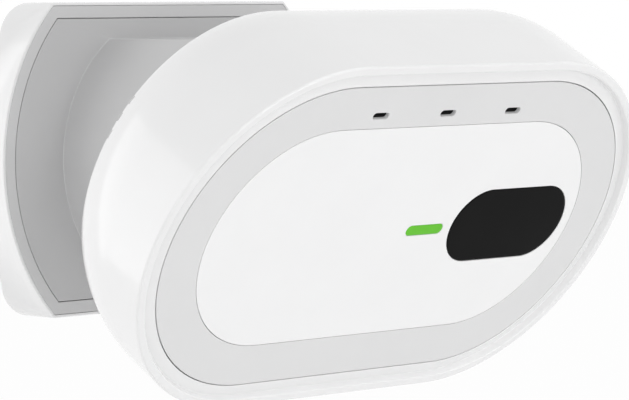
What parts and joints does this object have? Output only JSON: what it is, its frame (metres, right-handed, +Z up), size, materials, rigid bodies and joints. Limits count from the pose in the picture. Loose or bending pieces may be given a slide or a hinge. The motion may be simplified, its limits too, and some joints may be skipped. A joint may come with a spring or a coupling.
{
  "type": "presence sensor",
  "caption": "Wall-mounted presence sensor with a tilting racetrack-shaped head, dark oval window and light bar on a stubby neck and low wall base.",
  "frame": {"origin": "centre of the base's rear face, on the wall", "axes": "+Z up, +Y into the wall, +X to the right of a person who faces the sensor; the sensor looks towards -Y"},
  "size_m": [0.1372, 0.0971, 0.0821],
  "materials": {
    "steel": "satin zinc-plated steel",
    "white_shell": "satin white moulded plastic",
    "white_plate": "fine matt white plastic",
    "light_grey": "fine matt light grey plastic",
    "mid_grey": "fine matt mid grey plastic",
    "dark_window": "polished near-black plastic",
    "green_guide": "glowing green light guide",
    "black_plastic": "black moulded plastic",
    "rubber": "soft black rubber",
    "board": "green soldermask",
    "silver_can": "tinned steel can",
    "copper": "gold-plated copper",
    "lens": "coated lens",
    "thermal": "soft grey-blue pad",
    "aluminium": "plain aluminium sheet"
  },
  "bodies": {
    "base": {"wall_bracket": "steel", "base_shell": "white_shell", "rim_ring": "mid_grey", "neck_housing": "mid_grey", "cable_door": "mid_grey", "panel_screws": "steel", "arm_screws": "steel", "lock_screw": "steel", "tilt_arm": "black_plastic"},
    "head": {"hinge_pin": "steel", "pin_clips": "steel", "friction_washers": "rubber", "spring_washer": "steel", "head_shell": "white_shell", "face_ring": "light_grey", "face_plate": "white_plate", "window": "dark_window", "window_seal": "rubber", "light_guide": "green_guide", "back_cover": "white_shell", "front_board": "board", "main_board": "board", "board_spacers": "black_plastic", "board_screws": "steel", "cover_screws": "steel", "antenna_patches": "copper", "radar_chip": "black_plastic", "thermal_pad": "thermal", "heat_spreader": "aluminium", "microphones": "silver_can", "port_seals": "rubber", "indicator_led": "white_plate", "optical_sensor": "black_plastic", "sensor_lens": "lens", "infrared_emitters": "lens", "shield_can": "silver_can", "processor": "black_plastic", "radio_module": "silver_can", "board_link": "black_plastic", "capacitors": "black_plastic", "power_inlet": "silver_can", "button_switch": "black_plastic"},
    "button": {"reset_button": "light_grey"}
  },
  "joints": [
    {"name": "head_tilt", "type": "hinge", "parent": "base", "child": "head", "pos_m": [0, -0.053, 0], "axis": [1, 0, 0], "range_deg": [-29.5, 7]},
    {"name": "reset_press", "type": "slide", "parent": "head", "child": "button", "axis": [0, -0.8704, -0.4924], "range_m": [0, 0.0005], "stiffness_N_per_m": 800}
  ]
}
